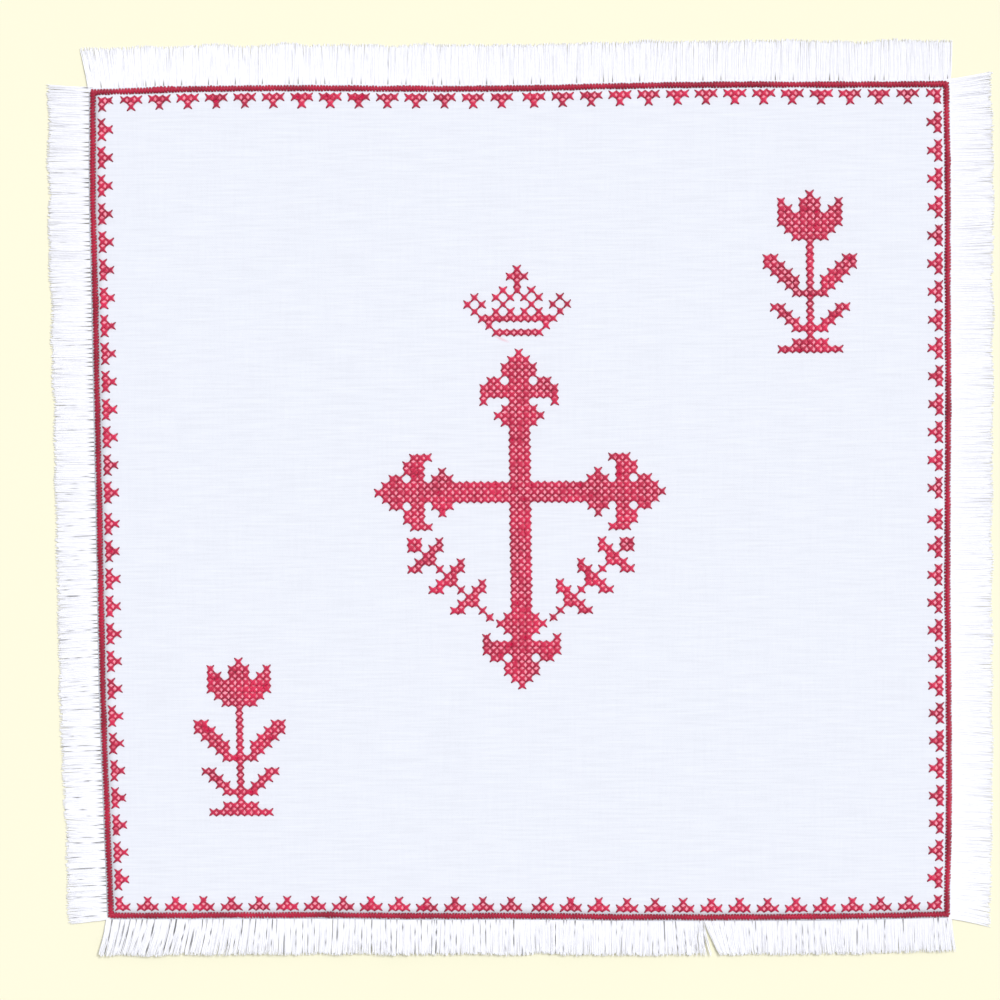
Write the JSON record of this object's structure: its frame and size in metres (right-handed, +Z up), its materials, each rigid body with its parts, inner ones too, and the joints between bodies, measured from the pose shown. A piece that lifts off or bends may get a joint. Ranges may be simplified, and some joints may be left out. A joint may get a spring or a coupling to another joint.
{
  "type": "easter basket cover",
  "caption": "Square of white cloth, frayed into a fringe on its sides, with a stitched red edging and cross-stitch motifs, laid flat to cover a basket.",
  "frame": {"origin": "on the table, under the middle of the whole cover with its fringe", "axes": "+X to the right of the work, +Y towards its top, +Z up from the table"},
  "size_m": [0.4224, 0.4126, 0.0022],
  "materials": {
    "cloth": "plain weave, matt",
    "fringe": "frayed threads, matt",
    "edging": "overcast stitches, soft sheen",
    "floss": "stranded floss, soft sheen"
  },
  "bodies": {
    "root": {"cloth": "cloth", "edging": "edging", "fringe_top": "fringe", "fringe_right": "fringe", "fringe_bottom": "fringe", "fringe_left": "fringe", "cross": "floss", "crown": "floss", "sprig_right": "floss", "sprig_left": "floss", "tulip_upper_right": "floss", "tulip_lower_left": "floss"}
  },
  "joints": []
}
